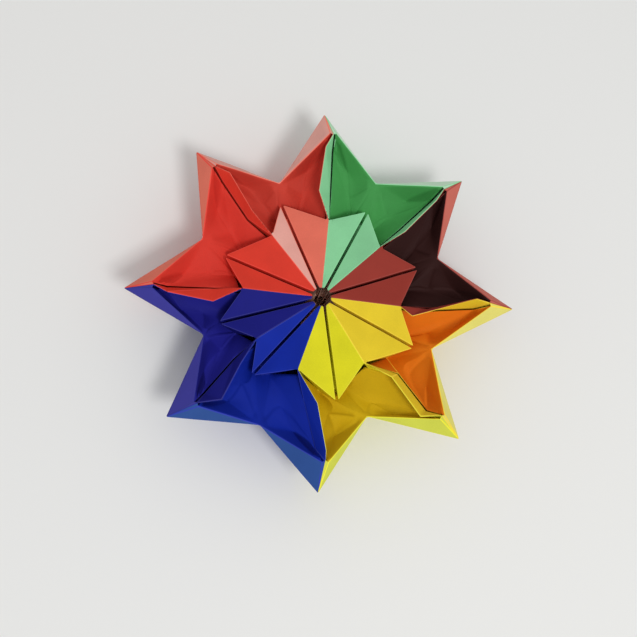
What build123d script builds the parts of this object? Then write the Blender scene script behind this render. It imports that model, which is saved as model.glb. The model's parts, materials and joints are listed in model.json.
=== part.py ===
from build123d import *
import math
import os

import numpy as np

# Eight square sheets, each folded into the same unit and glued side by side into a ring.
# The star lies flat, origin at the middle of its foot, +Z up, millimetres.
UNITS = ("green", "brown", "amber", "lemon", "blue", "indigo", "red", "coral")
PAPER = 0.2

# Facets at a corner that lie nearer to one plane than this share count as that plane.
FLAT_SHARE = 0.15

# Hand folding has left each glued wall and each unit a little off the even star. Walls go round
# clockwise from the one at the top of the photo, units from the green one after it. Turns are
# in degrees about the axis, anticlockwise from above; a bow is how far the loose upper band of
# a wall leans over to one side, and a reach carries a notch outwards.
TIP_TURN = (1.5, -1.5, 0.0, 1.0, 1.0, -3.0, 2.0, -1.5)
PEAK_TURN = (-1.0, -0.5, 0.0, 0.5, 2.5, 0.5, 2.0, -1.5)
WALL_BOW = (4.5, -2.0, -1.5, -3.5, 3.0, 3.0, 4.5, -4.5)
KITE_SIDE_TURN = (-2.5, -1.0, -4.0, -11.0, -15.5, -7.5, -1.0, -3.0)
KITE_TIP_TURN = (-2.5, -1.0, -2.5, -11.5, -15.5, -4.5, 2.0, 2.5)
NOTCH_REACH = (2.5, -0.5, -2.5, 0.0, 6.0, -1.5, 1.5, -1.0)

# Star tips and the notches between them.
TIP_RADIUS = 74.0
TIP_HEIGHT = 24.0
NOTCH_RADIUS = 48.5
NOTCH_HEIGHT = 23.0

# Rim of the cups: a peak on each glued wall, and a blunt corner beside it.
PEAK_RADIUS = 63.0
PEAK_HEIGHT = 31.0
CORNER_OUT = 0.5
CORNER_WIDTH = 1.2
CORNER_DROP = 0.5

# Upper edge of the glued wall on its way from the peak to the kite, and the crease below it
# from which its loose band leans over.
SHOULDER_BACK = 5.0
SHOULDER_DROP = 1.5
SHOULDER_BOW_SHARE = 0.6
SAG_OUT = 11.0
SAG_DROP = 3.0
BAND = 4.5

# Flat kites around the small hole in the middle.
HUB_RADIUS = 3.3
HUB_HEIGHT = 22.5
KITE_SIDE_RADIUS = 30.0
KITE_SIDE_HEIGHT = 24.5
KITE_TIP_RADIUS = 39.5
KITE_TIP_HEIGHT = 20.5
KITE_LIP = 1.5

# Pleat along the middle of each kite.
PLEAT_WIDTH = 1.1
PLEAT_DEPTH = 11.0
PLEAT_TIP_BACK = 5.0
PLEAT_TIP_DEPTH = 3.0

# Cup: a ridge runs in under the kite tip, and a loose flap stands beside the glued wall.
RIDGE_TUCK = 3.0
RIDGE_ROOM = 7.0
RIDGE_TURN_SHARE = 0.8
GROOVE_TUCK = 1.0
GROOVE_SHARE = 0.6
FLAP_SLIT = 0.9
FLAP_DROP = 0.5
FLAP_END_OUT = 1.0
FLAP_END_DROP = 4.0

# Flat base: the outer walls and the glued walls both turn in to it.
FOOT_RADIUS = 30.0
KEEL_RADIUS = 1.4

SECTOR = 360.0 / len(UNITS)
HALF_SECTOR = SECTOR / 2


def polar(radius, turn, height):
    """A point at a turn in degrees about the axis."""
    return np.array([radius * math.cos(math.radians(turn)),
                     radius * math.sin(math.radians(turn)), height])


def turned(point, turn):
    """A point carried about the axis."""
    return np.array(tuple(Vector(*point).rotate(Axis.Z, turn)))


def plane_normal(a, b, c):
    normal = np.cross(b - a, c - a)
    return normal / np.linalg.norm(normal)


def height_on_plane(a, b, c, spot):
    """Height of the plane through three points, above or below a spot."""
    n = plane_normal(a, b, c)
    return a[2] - (n[0] * (spot[0] - a[0]) + n[1] * (spot[1] - a[1])) / n[2]


def wall_turn(wall, radius):
    """Turn of a glued wall's upper edge, before it bows, on its way from peak to kite."""
    share = (PEAK_RADIUS - radius) / (PEAK_RADIUS - KITE_SIDE_RADIUS)
    return PEAK_TURN[wall] + share * (KITE_SIDE_TURN[wall] - PEAK_TURN[wall])


def half_points(side, unit):
    """Corners of one half of a unit whose middle is on +X; side is 1 or -1."""
    wall = unit if side > 0 else (unit + 1) % len(UNITS)
    line = side * HALF_SECTOR
    foot = polar(FOOT_RADIUS, 0, 0)
    notch = polar(NOTCH_RADIUS + NOTCH_REACH[unit], 0, NOTCH_HEIGHT)

    # The outer wall of an even star is flat, and its plane meets the table at the wall's foot.
    even_tip = polar(TIP_RADIUS, line, TIP_HEIGHT)
    even_notch = polar(NOTCH_RADIUS, 0, NOTCH_HEIGHT)
    outer = plane_normal(even_notch, even_tip, foot)
    reach = polar(1, line, 0)
    wall_foot = reach * np.dot(outer, foot) / np.dot(outer, reach)

    ridge_end = polar(KITE_TIP_RADIUS - RIDGE_TUCK, 0, 0)
    ridge_end[2] = height_on_plane(even_notch, even_tip, foot, ridge_end) + RIDGE_ROOM
    ridge_end = turned(ridge_end, RIDGE_TURN_SHARE * KITE_TIP_TURN[unit])
    peak_turn = line + PEAK_TURN[wall]
    corner_turn = peak_turn - side * math.degrees(CORNER_WIDTH / PEAK_RADIUS)
    corner = polar(PEAK_RADIUS + CORNER_OUT, corner_turn, PEAK_HEIGHT - CORNER_DROP)

    # The groove passes under the kite's outer edge and ends just behind it, on the cup's plane.
    kite_side = polar(KITE_SIDE_RADIUS, line + KITE_SIDE_TURN[wall], KITE_SIDE_HEIGHT)
    kite_tip = polar(KITE_TIP_RADIUS, KITE_TIP_TURN[unit], KITE_TIP_HEIGHT)
    kite_edge = kite_tip - kite_side
    groove = kite_side + GROOVE_SHARE * kite_edge
    groove -= GROOVE_TUCK * groove / np.linalg.norm(groove[:2])
    groove[2] = height_on_plane(notch, corner, ridge_end, groove)

    def beside_wall(radius, height, shift):
        """A point at a sideways shift from the wall, anticlockwise."""
        return polar(radius, line + wall_turn(wall, radius) + math.degrees(shift / radius), height)

    bow = WALL_BOW[wall]
    gap = -side * FLAP_SLIT
    shoulder_radius = PEAK_RADIUS - SHOULDER_BACK
    shoulder_height = PEAK_HEIGHT - SHOULDER_DROP
    sag_radius = KITE_SIDE_RADIUS + SAG_OUT
    sag_height = shoulder_height - SAG_DROP
    end_radius = KITE_SIDE_RADIUS + FLAP_END_OUT
    end_lean = 1 - FLAP_END_DROP / KITE_SIDE_HEIGHT
    end_turn = end_lean * wall_turn(wall, end_radius) + math.degrees(gap / end_radius)

    # Both lips of the pleat are in the plane of their half of the kite.
    half_pleat = np.array((0, side * PLEAT_WIDTH / 2, 0))
    hub = polar(HUB_RADIUS, line, HUB_HEIGHT)
    kite_tip += turned(half_pleat, KITE_TIP_TURN[unit])
    slit = polar(HUB_RADIUS, 0, 0) + half_pleat
    slit[2] = height_on_plane(hub, kite_tip, kite_side, slit)
    return {
        "tip": polar(TIP_RADIUS, line + TIP_TURN[wall], TIP_HEIGHT),
        "peak": polar(PEAK_RADIUS, peak_turn, PEAK_HEIGHT),
        "corner": corner,
        "shoulder": beside_wall(shoulder_radius, shoulder_height, SHOULDER_BOW_SHARE * bow),
        "shoulder_fold": beside_wall(shoulder_radius, shoulder_height - BAND, 0),
        "sag": beside_wall(sag_radius, sag_height, bow),
        "sag_fold": beside_wall(sag_radius, sag_height - BAND, 0),
        "kite_side": kite_side,
        "kite_lip": kite_side + KITE_LIP * kite_edge / np.linalg.norm(kite_edge),
        "hub": hub,
        "keel": polar(KEEL_RADIUS, line, 0),
        "wall_foot": wall_foot,
        "flap_start": beside_wall(shoulder_radius, shoulder_height - BAND - FLAP_DROP, gap),
        "flap_middle": beside_wall(sag_radius, sag_height - BAND - FLAP_DROP, gap),
        "flap_end": polar(end_radius, line + end_turn, end_lean * KITE_SIDE_HEIGHT),
        "groove": groove,
        "kite_tip": kite_tip,
        "pleat_tip": kite_tip - polar(PLEAT_TIP_BACK, KITE_TIP_TURN[unit], PLEAT_TIP_DEPTH),
        "slit": slit,
        "pleat_end": polar(HUB_RADIUS, 0, HUB_HEIGHT - PLEAT_DEPTH) + half_pleat,
        "notch": notch,
        "ridge_end": ridge_end,
        "foot": foot,
    }


# Facets of one half, each named by its corners; the coloured side is seen with the corners
# running anticlockwise on the half where the turn is positive.
HALF_FACETS = (
    ("hub", "kite_lip", "kite_side"),
    ("hub", "kite_tip", "kite_lip"),
    ("hub", "slit", "kite_tip"),
    ("slit", "pleat_end", "pleat_tip"),
    ("slit", "pleat_tip", "kite_tip"),
    ("ridge_end", "kite_tip", "pleat_tip"),
    ("kite_lip", "kite_tip", "groove"),
    ("kite_tip", "ridge_end", "groove"),
    ("ridge_end", "notch", "groove"),
    ("groove", "notch", "corner"),
    ("groove", "corner", "flap_start"),
    ("groove", "flap_start", "flap_middle"),
    ("groove", "flap_middle", "flap_end"),
    ("notch", "tip", "corner"),
    ("corner", "tip", "peak"),
    ("peak", "tip", "shoulder_fold"),
    ("peak", "shoulder_fold", "shoulder"),
    ("shoulder", "shoulder_fold", "sag_fold"),
    ("shoulder", "sag_fold", "sag"),
    ("sag", "sag_fold", "kite_side"),
    ("shoulder_fold", "tip", "wall_foot"),
    ("shoulder_fold", "wall_foot", "sag_fold"),
    ("sag_fold", "wall_foot", "kite_side"),
    ("kite_side", "wall_foot", "keel"),
    ("kite_side", "keel", "hub"),
    ("tip", "notch", "wall_foot"),
    ("notch", "foot", "wall_foot"),
    ("foot", "keel", "wall_foot"),
)
MIDDLE_POINTS = ("notch", "ridge_end", "foot")


def unit_sheet(unit):
    """Corners of a whole unit, and its facets seen from the coloured side."""
    points = {}
    facets = []
    for side in (1, -1):
        half = half_points(side, unit)
        label = {name: (name, 0 if name in MIDDLE_POINTS else side) for name in half}
        points.update({label[name]: spot for name, spot in half.items()})
        for facet in HALF_FACETS:
            facets.append([label[name] for name in facet[::side]])
    left_tip, right_tip = ("pleat_tip", 1), ("pleat_tip", -1)
    left_end, right_end = ("pleat_end", 1), ("pleat_end", -1)
    facets.append([left_tip, left_end, right_end])
    facets.append([left_tip, right_end, right_tip])
    facets.append([left_tip, right_tip, ("ridge_end", 0)])
    facets.append([("foot", 0), ("keel", -1), ("keel", 1)])
    return points, facets


def back_points(points, facets):
    """Each corner moved one paper thickness behind every facet that meets in it."""
    planes = {label: [] for label in points}
    for facet in facets:
        normal = plane_normal(*(points[label] for label in facet))
        for label in facet:
            planes[label].append(normal)
    back = {}
    for label, normals in planes.items():
        step = np.linalg.lstsq(np.array(normals), np.full(len(normals), -PAPER), rcond=FLAT_SHARE)[0]
        back[label] = points[label] + step
    return back


def triangle(a, b, c):
    return Face(Wire.make_polygon([Vector(*a), Vector(*b), Vector(*c)]))


def folded_unit(unit):
    """One folded sheet as a closed solid of even thickness."""
    points, facets = unit_sheet(unit)
    back = back_points(points, facets)
    edges = {(facet[i - 1], facet[i]) for facet in facets for i in range(3)}
    faces = []
    for p, q, r in facets:
        faces.append(triangle(points[p], points[q], points[r]))
        faces.append(triangle(back[p], back[r], back[q]))
    for p, q in edges:
        if (q, p) not in edges:
            faces.append(triangle(points[q], points[p], back[p]))
            faces.append(triangle(points[q], back[p], back[q]))
    return Solid(Shell(faces))


os.makedirs("parts", exist_ok=True)
for index, colour in enumerate(UNITS):
    # The first wall points along +Y and the units follow clockwise.
    middle = 90 - HALF_SECTOR - SECTOR * index
    export_step(folded_unit(index).rotate(Axis.Z, middle), f"parts/unit_{colour}.step")
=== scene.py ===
import json
import math

import bmesh
import bpy
from mathutils import Matrix, Vector

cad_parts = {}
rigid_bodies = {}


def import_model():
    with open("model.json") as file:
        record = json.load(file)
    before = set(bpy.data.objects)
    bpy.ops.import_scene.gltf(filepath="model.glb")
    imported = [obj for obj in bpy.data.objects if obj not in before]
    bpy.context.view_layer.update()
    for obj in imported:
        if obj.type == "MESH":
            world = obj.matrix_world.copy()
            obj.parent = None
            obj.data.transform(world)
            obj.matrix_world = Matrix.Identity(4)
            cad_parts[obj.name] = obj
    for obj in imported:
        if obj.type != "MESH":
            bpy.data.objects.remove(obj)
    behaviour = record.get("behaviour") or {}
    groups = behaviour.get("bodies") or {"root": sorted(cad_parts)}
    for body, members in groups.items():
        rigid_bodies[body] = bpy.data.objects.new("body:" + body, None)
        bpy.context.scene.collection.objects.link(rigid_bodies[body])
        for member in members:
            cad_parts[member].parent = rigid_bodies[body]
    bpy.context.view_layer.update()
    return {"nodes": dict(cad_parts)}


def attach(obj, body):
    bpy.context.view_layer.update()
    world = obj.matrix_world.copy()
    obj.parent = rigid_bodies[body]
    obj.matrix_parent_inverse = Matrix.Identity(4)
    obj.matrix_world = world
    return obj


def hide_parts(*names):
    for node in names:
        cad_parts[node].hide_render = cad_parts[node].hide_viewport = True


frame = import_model()

# Eight folded squares of coloured craft paper, dyed right through and matt. Each is one sheet,
# creased by hand into a unit with a pleated kite at its inner end and two open cups behind it.
MM = 0.001
UNITS = ("green", "brown", "amber", "lemon", "blue", "indigo", "red", "coral")
MERGE_GAP = 0.02 * MM

sheets = {}
for colour in UNITS:
    node = "unit_" + colour
    sheet = bpy.data.objects.new("sheet_" + colour, frame["nodes"][node].data.copy())
    bpy.context.scene.collection.objects.link(sheet)
    sheets[colour] = sheet


def edit_all():
    """Put all eight sheets into edit mode together."""
    bpy.ops.object.select_all(action="DESELECT")
    for sheet in sheets.values():
        sheet.select_set(True)
    bpy.context.view_layer.objects.active = sheets["green"]
    bpy.ops.object.mode_set(mode="EDIT")


edit_all()
bpy.ops.mesh.select_all(action="SELECT")
bpy.ops.mesh.remove_doubles(threshold=MERGE_GAP)
bpy.ops.object.mode_set(mode="OBJECT")

# The walls where neighbouring sheets are glued together. Their upper bands are loose, and each has
# slumped in its own way. A row gives the sheets that share a band, a corner of the band, how far
# from the corner a point still goes with it, and the corner's move, all in millimetres.
HAND_MOVES = (
    # Between brown and amber the band droops over the amber cup, and its outer end leans back.
    (("brown", "amber"), (58.0, -1.5, 29.5), 0.5, (0, 3.0, 0)),
    (("brown", "amber"), (40.9, -3.4, 26.5), 0.5, (-6.5, -2.4, -0.8)),
    # Between amber and lemon it bulges towards the amber.
    (("amber", "lemon"), (23.9, -33.3, 23.5), 4.5, (4.5, 4.5, 0)),
    (("amber", "lemon"), (38.6, -43.4, 29.5), 0.6, (-1.3, -1.3, 0)),
    # Between red and coral it is pulled towards the red.
    (("red", "coral"), (-24.2, 33.1, 26.5), 0.6, (-4.2, -2.0, -0.5)),
    (("red", "coral"), (-27.7, 30.2, 21.8), 1.6, (-1.4, -1.4, 0)),
    # One flap of the blue is shut.
    (("blue",), (-7.6, -30.1, 20.4), 0.5, (0.6, 0, 0.4)),
    (("blue",), (-7.6, -40.3, 21.4), 0.5, (0.6, 0, 0.4)),
    (("blue",), (-1.1, -58.1, 24.3), 0.5, (0.6, 0, 0.5)),
    # Between blue and lemon the band is pulled towards the lemon.
    (("blue", "lemon"), (-3.8, -40.8, 26.5), 0.5, (3.3, -0.7, 0)),
    (("blue", "lemon"), (-6.8, -40.4, 21.8), 1.6, (2.0, 0, 0)),
    (("blue", "lemon"), (1.6, -58.0, 29.5), 0.5, (1.4, -1.0, 0)),
    # Between indigo and blue its outer end leans over the blue cup.
    (("indigo", "blue"), (-40.2, -41.8, 29.5), 0.5, (4.7, -0.9, -0.5)),
    # Between red and indigo it leans a little over the indigo cup.
    (("red", "indigo"), (-40.8, -4.5, 26.5), 0.5, (0, -1.4, 0)),
)

edit_all()
bpy.ops.mesh.select_mode(type="VERT")
for sharing, corner, near, move in HAND_MOVES:
    bpy.ops.mesh.select_all(action="DESELECT")
    for colour in sharing:
        mesh = bmesh.from_edit_mesh(sheets[colour].data)
        for vertex in mesh.verts:
            vertex.select_set((vertex.co - Vector(corner) * MM).length < near * MM)
        bmesh.update_edit_mesh(sheets[colour].data)
    bpy.ops.transform.translate(value=Vector(move) * MM)
bpy.ops.object.mode_set(mode="OBJECT")

# The dye. Pressed folds and cut edges are rubbed pale. The outer rims are painted paler, a painted
# sheen of the pale room, and the insides of the cups are painted deeper, as painted shade. Round
# the small hole in the middle the sheets are painted brown, darker at the top, as painted shade.
PAPER_COLOURS = {
    "green": (136, 204, 152),
    "brown": (150, 54, 44),
    "amber": (228, 200, 44),
    "lemon": (220, 214, 32),
    "blue": (8, 38, 154),
    "indigo": (22, 24, 122),
    "red": (216, 58, 42),
    "coral": (226, 112, 92),
}
# Painted sheen: the outer rims are painted paler than the dye, for the pale room glancing off
# them.
RIM_SHEEN_COLOURS = {
    "green": (200, 230, 202),
    "brown": (198, 104, 90),
    "amber": (226, 216, 112),
    "lemon": (206, 210, 76),
    "blue": (44, 79, 146),
    "indigo": (60, 58, 150),
    "red": (224, 116, 96),
    "coral": (228, 166, 154),
}
# Painted shade: the insides of the cups, mostly deeper and darker than the dye, for the shade
# between the walls and the coloured light bounced there.
CUP_SHADE_COLOURS = {
    "green": (68, 150, 77),
    "brown": (50, 23, 21),
    "amber": (226, 118, 16),
    "lemon": (208, 170, 12),
    "blue": (8, 36, 150),
    "indigo": (30, 30, 136),
    "red": (214, 58, 46),
    "coral": (200, 64, 50),
}
FOLD_GAIN = 1.2
FOLD_DUST = 0.03
PAPER_SHINE = 0.15
PAPER_ROUGHNESS = (0.62, 0.8)
FIBRE_BUMP = 0.18
FIBRE_HEIGHT = 0.05 * MM
GRAIN_SCALE = 2600
GRAIN_DETAIL = 4
GRAIN_SHADES = (0.96, 1.04)
CLOUD_SCALE = 90
CLOUD_DETAIL = 3
CLOUD_SHADES = (0.94, 1.05)
NOISE_RANGE = (0.3, 0.7)
# Painted shade of the hole: the sheets round it are painted pale brown low down, where the hole's
# own shade darkens them, and dark brown towards the top, so that the hole looks evenly dark brown.
HOLE_SHADE_LOW_COLOUR = (216, 170, 150)
HOLE_SHADE_HIGH_COLOUR = (86, 59, 50)
HOLE_SHADE_DARKENS_FROM = 14 * MM
HOLE_SHADE_FLOOR = 0.1 * MM
HOLE_SHADE_HIGHEST = 22.5 * MM
HOLE_SHADE_RADIUS = 3.4 * MM
HOLE_SHADE_SPREAD = 0.8
HOLE_SHADE_FADE = 0.2 * MM
HOLE_SHADE_EDGE = HOLE_SHADE_RADIUS + HOLE_SHADE_SPREAD * HOLE_SHADE_HIGHEST


def linear(rgb):
    """A colour as seen on a screen, 0 to 255, as the shader takes it."""
    levels = [value / 255 for value in rgb]
    return [v / 12.92 if v <= 0.04045 else ((v + 0.055) / 1.055) ** 2.4 for v in levels] + [1]


fibres = bpy.data.node_groups.new("paper_fibres", "ShaderNodeTree")
fibres.interface.new_socket("Vector", in_out="INPUT", socket_type="NodeSocketVector")
fibres.interface.new_socket("Dye", in_out="INPUT", socket_type="NodeSocketColor")
fibres.interface.new_socket("Colour", in_out="OUTPUT", socket_type="NodeSocketColor")
fibres.interface.new_socket("Roughness", in_out="OUTPUT", socket_type="NodeSocketFloat")
fibres.interface.new_socket("Height", in_out="OUTPUT", socket_type="NodeSocketFloat")
fibre_in = fibres.nodes.new("NodeGroupInput")
fibre_out = fibres.nodes.new("NodeGroupOutput")


def mottle(scale, detail, shades):
    """Noise of one size over the paper, and how much it lightens and darkens the dye."""
    noise = fibres.nodes.new("ShaderNodeTexNoise")
    noise.inputs["Scale"].default_value = scale
    noise.inputs["Detail"].default_value = detail
    shade = fibres.nodes.new("ShaderNodeMapRange")
    shade.inputs["From Min"].default_value = NOISE_RANGE[0]
    shade.inputs["From Max"].default_value = NOISE_RANGE[1]
    shade.inputs["To Min"].default_value = shades[0]
    shade.inputs["To Max"].default_value = shades[1]
    fibres.links.new(fibre_in.outputs["Vector"], noise.inputs["Vector"])
    fibres.links.new(noise.outputs["Fac"], shade.inputs["Value"])
    return noise, shade


# The fibres of the paper, fine, and its cloudiness, coarse.
grain, grain_shade = mottle(GRAIN_SCALE, GRAIN_DETAIL, GRAIN_SHADES)
_, cloud_shade = mottle(CLOUD_SCALE, CLOUD_DETAIL, CLOUD_SHADES)
both = fibres.nodes.new("ShaderNodeMath")
both.operation = "MULTIPLY"
tint = fibres.nodes.new("ShaderNodeVectorMath")
tint.operation = "SCALE"
rough = fibres.nodes.new("ShaderNodeMapRange")
rough.inputs["To Min"].default_value = PAPER_ROUGHNESS[0]
rough.inputs["To Max"].default_value = PAPER_ROUGHNESS[1]
fibres.links.new(cloud_shade.outputs["Result"], both.inputs[0])
fibres.links.new(grain_shade.outputs["Result"], both.inputs[1])
fibres.links.new(fibre_in.outputs["Dye"], tint.inputs[0])
fibres.links.new(both.outputs["Value"], tint.inputs["Scale"])
fibres.links.new(grain.outputs["Fac"], rough.inputs["Value"])
fibres.links.new(rough.outputs["Result"], fibre_out.inputs["Roughness"])
fibres.links.new(grain.outputs["Fac"], fibre_out.inputs["Height"])

# The painted shade of the hole lies within a cone round it, wider towards the table, and not on
# the underside.
flat = fibres.nodes.new("ShaderNodeVectorMath")
flat.operation = "MULTIPLY"
flat.inputs[1].default_value = (1, 1, 0)
reach = fibres.nodes.new("ShaderNodeVectorMath")
reach.operation = "LENGTH"
height = fibres.nodes.new("ShaderNodeSeparateXYZ")
cone = fibres.nodes.new("ShaderNodeMath")
cone.operation = "MULTIPLY_ADD"
cone.inputs[1].default_value = HOLE_SHADE_SPREAD
outside_hole_shade = fibres.nodes.new("ShaderNodeMapRange")
outside_hole_shade.inputs["From Min"].default_value = HOLE_SHADE_EDGE
outside_hole_shade.inputs["From Max"].default_value = HOLE_SHADE_EDGE + HOLE_SHADE_FADE
below = fibres.nodes.new("ShaderNodeMath")
below.operation = "LESS_THAN"
below.inputs[1].default_value = HOLE_SHADE_FLOOR
unshaded = fibres.nodes.new("ShaderNodeMath")
unshaded.operation = "MAXIMUM"
hole_shade_height = fibres.nodes.new("ShaderNodeMapRange")
hole_shade_height.inputs["From Min"].default_value = HOLE_SHADE_DARKENS_FROM
hole_shade_height.inputs["From Max"].default_value = HOLE_SHADE_HIGHEST
# Painted shade: pale brown low in the hole, turning darker brown towards its top.
hole_shade = fibres.nodes.new("ShaderNodeMix")
hole_shade.data_type = "RGBA"
hole_shade.inputs["A"].default_value = linear(HOLE_SHADE_LOW_COLOUR)
hole_shade.inputs["B"].default_value = linear(HOLE_SHADE_HIGH_COLOUR)
hole_shaded = fibres.nodes.new("ShaderNodeMix")
hole_shaded.data_type = "RGBA"
fibres.links.new(fibre_in.outputs["Vector"], flat.inputs[0])
fibres.links.new(flat.outputs["Vector"], reach.inputs[0])
fibres.links.new(fibre_in.outputs["Vector"], height.inputs["Vector"])
fibres.links.new(height.outputs["Z"], cone.inputs[0])
fibres.links.new(reach.outputs["Value"], cone.inputs[2])
fibres.links.new(cone.outputs["Value"], outside_hole_shade.inputs["Value"])
fibres.links.new(height.outputs["Z"], below.inputs[0])
fibres.links.new(outside_hole_shade.outputs["Result"], unshaded.inputs[0])
fibres.links.new(below.outputs["Value"], unshaded.inputs[1])
fibres.links.new(height.outputs["Z"], hole_shade_height.inputs["Value"])
fibres.links.new(hole_shade_height.outputs["Result"], hole_shade.inputs["Factor"])
fibres.links.new(unshaded.outputs["Value"], hole_shaded.inputs["Factor"])
fibres.links.new(hole_shade.outputs["Result"], hole_shaded.inputs["A"])
fibres.links.new(tint.outputs["Vector"], hole_shaded.inputs["B"])
fibres.links.new(hole_shaded.outputs["Result"], fibre_out.inputs["Colour"])


def paper(name, dye):
    """Matt dyed paper."""
    material = bpy.data.materials.new(name)
    material.use_nodes = True
    nodes, links = material.node_tree.nodes, material.node_tree.links
    shader = nodes["Principled BSDF"]
    shader.inputs["Specular IOR Level"].default_value = PAPER_SHINE
    place = nodes.new("ShaderNodeTexCoord")
    group = nodes.new("ShaderNodeGroup")
    group.node_tree = fibres
    group.inputs["Dye"].default_value = dye
    bump = nodes.new("ShaderNodeBump")
    bump.inputs["Strength"].default_value = FIBRE_BUMP
    bump.inputs["Distance"].default_value = FIBRE_HEIGHT
    links.new(place.outputs["Object"], group.inputs["Vector"])
    links.new(group.outputs["Colour"], shader.inputs["Base Color"])
    links.new(group.outputs["Roughness"], shader.inputs["Roughness"])
    links.new(group.outputs["Height"], bump.inputs["Height"])
    links.new(bump.outputs["Normal"], shader.inputs["Normal"])
    return material


PAPER_SLOT, FOLD_SLOT, RIM_SHEEN_SLOT, CUP_SHADE_SLOT = range(4)
# Each sheet has its dye, its rubbed folds, the rims' painted sheen and the cups' painted shade.
for colour, sheet in sheets.items():
    dye = linear(PAPER_COLOURS[colour])
    rubbed = [min(1, FOLD_GAIN * level + FOLD_DUST) for level in dye[:3]] + [1]
    sheet.data.materials.clear()
    sheet.data.materials.append(paper("paper_" + colour, dye))
    sheet.data.materials.append(paper("fold_" + colour, rubbed))
    sheet.data.materials.append(paper("rim_" + colour, linear(RIM_SHEEN_COLOURS[colour])))
    sheet.data.materials.append(paper("cup_shade_" + colour, linear(CUP_SHADE_COLOURS[colour])))

# The faces of a folded sheet. The rims face up and out beyond the cups and carry the painted
# sheen, the insides of the cups lie between the walls and carry the painted shade, and the cut
# edges of the paper are under half a millimetre wide. One half of the coral kite is painted as
# pale as a rim.
CUT_EDGE = 0.45 * MM
RIM_RADIUS = 56 * MM
CUP_RADIUS = 34 * MM
CUP_MIDDLE = 45 * MM
CUP_BOTTOM = 16 * MM
CUP_TOP = 23.9 * MM
FACING = 0.3
STEEP = 0.68
KITE_BOTTOM = 19 * MM
KITE_SIDE = 0.9 * MM
KITE_FACING = 0.5


def face_width(face):
    """Narrowest width of a triangle, which tells a cut edge of the paper from its faces."""
    return 2 * face.calc_area() / max(edge.calc_length() for edge in face.edges)


def face_slot(face):
    """The slot of a face: a cut edge, the outer rim with its painted sheen, the inside of a cup
    with its painted shade, or plain paper.
    """
    middle = face.calc_center_median()
    radius = middle.xy.length
    outward = face.normal.xy.dot(middle.xy) / radius
    if face_width(face) < CUT_EDGE:
        return FOLD_SLOT
    if radius > RIM_RADIUS:
        # Painted sheen on the outer rims that face up and out.
        return RIM_SHEEN_SLOT if face.normal.z > 0 and outward > FACING else PAPER_SLOT
    level = abs(face.normal.z) > FACING or radius > CUP_MIDDLE
    # Painted shade inside the cups.
    if level and abs(outward) < STEEP and radius > CUP_RADIUS and CUP_BOTTOM < middle.z < CUP_TOP:
        return CUP_SHADE_SLOT
    return PAPER_SLOT


def on_kite(face):
    """Whether a face is on top of the kite."""
    middle = face.calc_center_median()
    inside = middle.xy.length < CUP_RADIUS and middle.z > KITE_BOTTOM
    return inside and face.normal.z > KITE_FACING


def finish_faces(sheet, across):
    """Give each face of a sheet its slot."""
    mesh = bmesh.from_edit_mesh(sheet.data)
    for face in mesh.faces:
        face.material_index = face_slot(face)
        pale_side = face.calc_center_median().dot(across) > KITE_SIDE
        # One half of the coral kite is painted in the rims' paler colour.
        if sheet == sheets["coral"] and on_kite(face) and pale_side:
            face.material_index = RIM_SHEEN_SLOT


# The creases down the cups. They were only half pressed, so each cup is a soft pocket, deepest
# behind the peak and a little away from the wall.
POCKET_RADIUS = 60 * MM
POCKET_FROM = 49 * MM
POCKET_DEPTH = 4 * MM
VALLEY_FROM = 40 * MM
VALLEY_DEPTH = 3 * MM
PINCH = 2.2 * MM
CREASE_CUTS = 2


def in_cup(edge):
    """Whether all faces at an edge are inside a cup."""
    return all(face.material_index == CUP_SHADE_SLOT for face in edge.link_faces)


def press_cups(sheet, across):
    """Divide the crease down each cup and press it in, twice over behind the peak."""
    bpy.ops.mesh.select_mode(type="EDGE")
    bpy.ops.mesh.select_all(action="DESELECT")
    mesh = bmesh.from_edit_mesh(sheet.data)
    for edge in mesh.edges:
        if in_cup(edge) and max(end.co.xy.length for end in edge.verts) > POCKET_RADIUS:
            edge.select_set(True)
    bmesh.update_edit_mesh(sheet.data)
    bpy.ops.mesh.subdivide(number_cuts=CREASE_CUTS)
    bpy.ops.mesh.select_mode(type="VERT")
    mesh = bmesh.from_edit_mesh(sheet.data)
    mesh.verts.index_update()
    crease = [vertex.index for vertex in mesh.verts if vertex.select]
    for side in (1, -1):
        for start, drop in ((VALLEY_FROM, VALLEY_DEPTH), (POCKET_FROM, POCKET_DEPTH)):
            bpy.ops.mesh.select_all(action="DESELECT")
            mesh = bmesh.from_edit_mesh(sheet.data)
            mesh.verts.ensure_lookup_table()
            for index in crease:
                vertex = mesh.verts[index]
                pressed = start < vertex.co.xy.length < POCKET_RADIUS
                vertex.select_set(pressed and side * vertex.co.dot(across) > 0)
            bmesh.update_edit_mesh(sheet.data)
            bpy.ops.transform.translate(value=Vector((0, 0, -drop)) - side * PINCH * across)


# The pressed folds. Each is rounded by the paper's own thickness and rubbed along its length.
# No fold dips below the table that the star stands on.
FOLD_ANGLE = math.radians(20)
FOLD_WIDTH = 0.26 * MM
FOLD_SEGMENTS = 2
TABLE_HEIGHT = 0


def round_folds(sheet):
    """Round the outer side of each pressed fold, but not the cut edges or the cups' creases."""
    bpy.ops.mesh.select_mode(type="EDGE")
    bpy.ops.mesh.select_all(action="DESELECT")
    mesh = bmesh.from_edit_mesh(sheet.data)
    for edge in mesh.edges:
        folded = edge.is_convex and edge.calc_face_angle(0) > FOLD_ANGLE and not in_cup(edge)
        if folded and all(face_width(face) > CUT_EDGE for face in edge.link_faces):
            edge.select_set(True)
    bmesh.update_edit_mesh(sheet.data)
    bpy.ops.mesh.bevel(offset=FOLD_WIDTH, segments=FOLD_SEGMENTS, affect="EDGES",
                       material=FOLD_SLOT, clamp_overlap=True)
    mesh = bmesh.from_edit_mesh(sheet.data)
    for vertex in mesh.verts:
        vertex.co.z = max(vertex.co.z, TABLE_HEIGHT)
    bmesh.update_edit_mesh(sheet.data)


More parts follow.
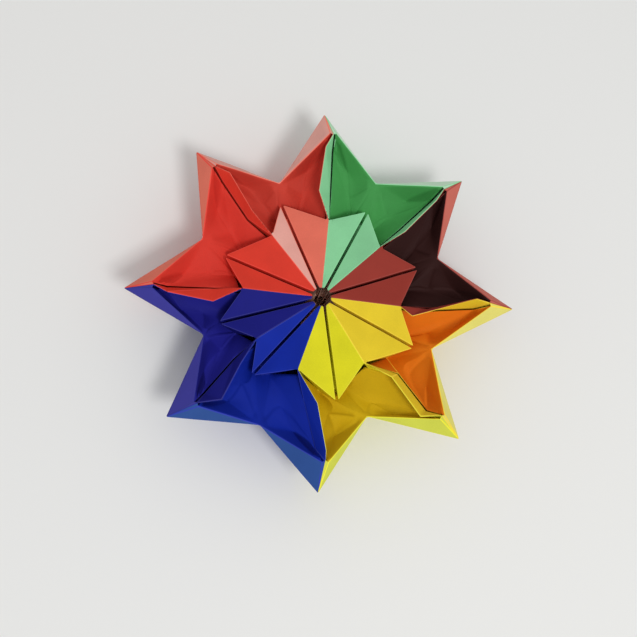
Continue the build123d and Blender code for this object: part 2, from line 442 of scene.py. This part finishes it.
# The slack of old paper. Inside the cups the creases have eased, away from the rims and the free
# edges, and the upper part of each sheet curls a little, so that no face is quite flat.
FACE_CUTS = 9
SOFTEN_TIMES = 24
SOFTEN_FACTOR = 0.5
CURL_FROM = 12 * MM
CURL_SCALE = 22 * MM
CURL_HEIGHT = 1.0 * MM
SMOOTH_ANGLE = math.radians(32)

curl = bpy.data.textures.new("curl", "CLOUDS")
curl.noise_scale = CURL_SCALE


def ease_cups(sheet):
    """Divide all faces finely and smooth the insides of the cups."""
    bpy.ops.mesh.select_all(action="SELECT")
    bpy.ops.mesh.quads_convert_to_tris()
    bpy.ops.mesh.subdivide(number_cuts=FACE_CUTS)
    bpy.ops.mesh.select_mode(type="VERT")
    bpy.ops.mesh.select_all(action="DESELECT")
    mesh = bmesh.from_edit_mesh(sheet.data)
    for face in mesh.faces:
        if face.material_index == CUP_SHADE_SLOT:
            face.select_set(True)
    bmesh.update_edit_mesh(sheet.data)
    bpy.ops.mesh.select_less()
    bpy.ops.mesh.vertices_smooth(factor=SOFTEN_FACTOR, repeat=SOFTEN_TIMES)


def let_curl(sheet):
    """Lift and drop the upper part of a sheet, and leave edit mode."""
    bpy.ops.mesh.select_all(action="DESELECT")
    mesh = bmesh.from_edit_mesh(sheet.data)
    for vertex in mesh.verts:
        vertex.select_set(vertex.co.z > CURL_FROM)
    bmesh.update_edit_mesh(sheet.data)
    bpy.ops.object.vertex_group_assign_new()
    bpy.ops.object.mode_set(mode="OBJECT")
    bpy.ops.object.modifier_add(type="DISPLACE")
    relax = sheet.modifiers[-1]
    relax.texture = curl
    relax.texture_coords = "LOCAL"
    relax.direction = "Z"
    relax.strength = CURL_HEIGHT
    relax.vertex_group = sheet.vertex_groups[-1].name
    bpy.ops.object.modifier_apply(modifier=relax.name)
    bpy.ops.object.shade_smooth_by_angle(angle=SMOOTH_ANGLE)


# The ring of eight units, clockwise from the green. Every sheet is worked in the same order:
# finishes, cups, folds, then the slack. It stands for its own solid.
FIRST_UNIT = math.radians(67.5)
UNIT_STEP = math.radians(45)

for number, sheet in enumerate(sheets.values()):
    azimuth = FIRST_UNIT - number * UNIT_STEP
    across = Vector((-math.sin(azimuth), math.cos(azimuth), 0))
    bpy.ops.object.select_all(action="DESELECT")
    sheet.select_set(True)
    bpy.context.view_layer.objects.active = sheet
    bpy.ops.object.mode_set(mode="EDIT")
    finish_faces(sheet, across)
    press_cups(sheet, across)
    round_folds(sheet)
    ease_cups(sheet)
    let_curl(sheet)

for colour, sheet in sheets.items():
    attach(sheet, "root")
    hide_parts("unit_" + colour)

# A pale table top, plain and matt. The star stands on it, and it is only the stage for the
# picture.
TABLE_SIZE = 4.0
TABLE_COLOUR = (232, 232, 230)
TABLE_ROUGHNESS = 0.8
bpy.ops.object.select_all(action="DESELECT")
bpy.ops.mesh.primitive_plane_add(size=TABLE_SIZE, location=(0, 0, TABLE_HEIGHT))
table = bpy.context.active_object
table.name = "table"
table_finish = bpy.data.materials.new("table_top")
table_finish.use_nodes = True
table_shader = table_finish.node_tree.nodes["Principled BSDF"]
table_shader.inputs["Base Color"].default_value = linear(TABLE_COLOUR)
table_shader.inputs["Roughness"].default_value = TABLE_ROUGHNESS
table.data.materials.append(table_finish)

# Soft white light fills the room, and a window towards the lower right throws the star's shadows
# to the upper left.
ROOM_COLOUR = (1, 1, 1, 1)
ROOM_LEVEL = 0.62
WINDOW_PLACE = Vector((0.36, -0.68, 1.3))
WINDOW_SIZE = 0.36
WINDOW_WATTS = 9.0
world = bpy.data.worlds.new("room")
world.use_nodes = True
world.node_tree.nodes["Background"].inputs["Color"].default_value = ROOM_COLOUR
world.node_tree.nodes["Background"].inputs["Strength"].default_value = ROOM_LEVEL
bpy.context.scene.world = world
bpy.ops.object.light_add(type="AREA", location=WINDOW_PLACE)
window = bpy.context.active_object
window.name = "window"
window.data.shape = "SQUARE"
window.data.size = WINDOW_SIZE
window.data.energy = WINDOW_WATTS
window.rotation_euler = WINDOW_PLACE.to_track_quat("Z", "Y").to_euler()

# The camera, held steeply above the star and a little towards its lower left, and rolled so that
# the tips stand in the frame as they do in the photograph.
STAR_TOP = Vector((0, 0, 24 * MM))
VIEW_DISTANCE = 450 * MM
VIEW_AZIMUTH = math.radians(-23)
VIEW_ELEVATION = math.radians(73)
VIEW_ROLL = math.radians(26.2)
PIXELS_PER_MM = 2.656
IMAGE_SIZE = 637
STAR_PIXEL = (322.2, 295.6)
SENSOR_WIDTH = 36

towards = Vector((math.cos(VIEW_ELEVATION) * math.sin(VIEW_AZIMUTH),
                  -math.cos(VIEW_ELEVATION) * math.cos(VIEW_AZIMUTH),
                  math.sin(VIEW_ELEVATION)))
level = Vector((0, 0, 1)).cross(towards).normalized()
upward = towards.cross(level)
right = level * math.cos(VIEW_ROLL) + upward * math.sin(VIEW_ROLL)
top = upward * math.cos(VIEW_ROLL) - level * math.sin(VIEW_ROLL)
bpy.ops.object.camera_add()
camera = bpy.context.active_object
camera.name = "camera"
camera.data.sensor_width = SENSOR_WIDTH
camera.data.lens = SENSOR_WIDTH * PIXELS_PER_MM * VIEW_DISTANCE / MM / IMAGE_SIZE
camera.data.shift_x = (IMAGE_SIZE / 2 - STAR_PIXEL[0]) / IMAGE_SIZE
camera.data.shift_y = (STAR_PIXEL[1] - IMAGE_SIZE / 2) / IMAGE_SIZE
place = STAR_TOP + towards * VIEW_DISTANCE
turn = Matrix((right, top, towards)).transposed()
camera.matrix_world = Matrix.Translation(place) @ turn.to_4x4()
bpy.context.scene.camera = camera

bpy.context.scene.view_settings.view_transform = "Standard"
